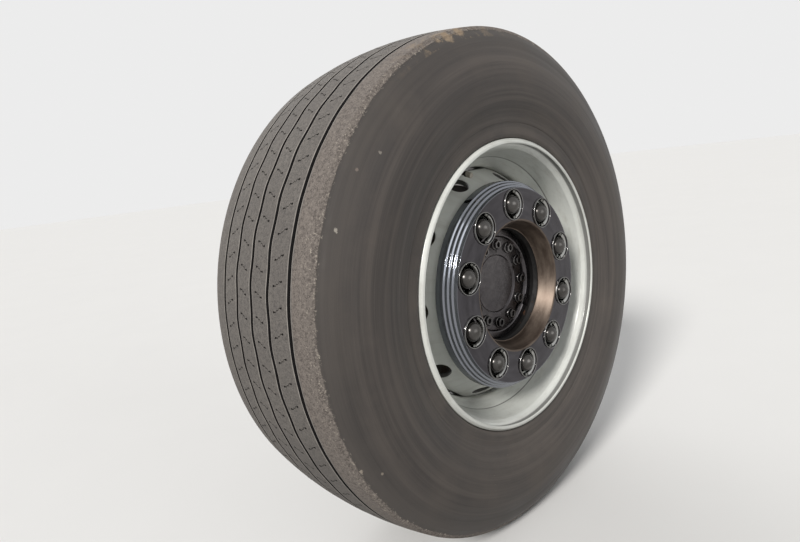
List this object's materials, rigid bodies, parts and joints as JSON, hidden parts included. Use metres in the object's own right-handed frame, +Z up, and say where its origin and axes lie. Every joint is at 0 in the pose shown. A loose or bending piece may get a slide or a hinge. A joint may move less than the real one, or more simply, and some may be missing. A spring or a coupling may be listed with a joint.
{
  "type": "truck steer wheel end",
  "caption": "Steered front wheel end of a heavy truck: wide single tyre on a dished steel rim with a polished trim ring, hub, disc brake and kingpin knuckle on a short axle head.",
  "frame": {"origin": "middle of the flat beam face at the inboard end of the axle head", "axes": "+X forward, +Y outboard along the wheel's axis at rest, +Z up; left-hand front wheel"},
  "size_m": [1.048, 0.5242, 1.0478],
  "materials": {
    "tyre": "worn dusty rubber",
    "wheel_paint": "weathered silver paint",
    "stainless": "polished stainless sheet",
    "cap_chrome": "polished, smoke dark",
    "bare_metal": "bare machined steel",
    "dark_steel": "phosphated steel",
    "brass": "dull",
    "hub_iron": "greasy cast iron",
    "hub_cap_paint": "worn dark metal",
    "disc_iron": "ground faces, rusty edges",
    "forged_black": "black paint on a forging",
    "cast_brake": "coated casting",
    "pad": "friction material on a steel plate",
    "chamber_paint": "semi gloss black",
    "plastic_black": "matt"
  },
  "bodies": {
    "axle_end": {"axle_head": "forged_black", "kingpin": "bare_metal"},
    "steered_end": {"knuckle": "forged_black", "kingpin_bushes": "brass", "kingpin_caps": "forged_black", "thrust_bearing": "bare_metal", "spindle_nut": "bare_metal", "tie_rod_arm": "forged_black", "steering_arm": "forged_black", "brake_carrier": "cast_brake", "caliper_pins": "bare_metal", "brake_caliper": "cast_brake", "brake_pads": "pad", "brake_chamber": "chamber_paint", "abs_sensor": "plastic_black"},
    "wheel": {"tyre": "tyre", "rim_barrel": "wheel_paint", "rim_disc": "wheel_paint", "valve_stem": "brass", "balance_weight": "bare_metal", "trim_ring": "stainless", "trim_brackets": "bare_metal", "wheel_studs": "dark_steel", "nut_caps": "cap_chrome", "hub": "hub_iron", "wheel_bearings": "bare_metal", "hub_cap": "hub_cap_paint", "hub_cap_bolts": "bare_metal", "brake_disc": "disc_iron", "tone_ring": "bare_metal"}
  },
  "joints": [
    {"name": "steer", "type": "hinge", "parent": "axle_end", "child": "steered_end", "pos_m": [0, 0.168, 0.082], "axis": [0, -0.0958, 0.9954], "range_deg": [-38, 50]},
    {"name": "wheel_spin", "type": "hinge", "parent": "steered_end", "child": "wheel", "pos_m": [0, 0.34, 0.082], "axis": [0, 1, 0], "continuous": true}
  ]
}
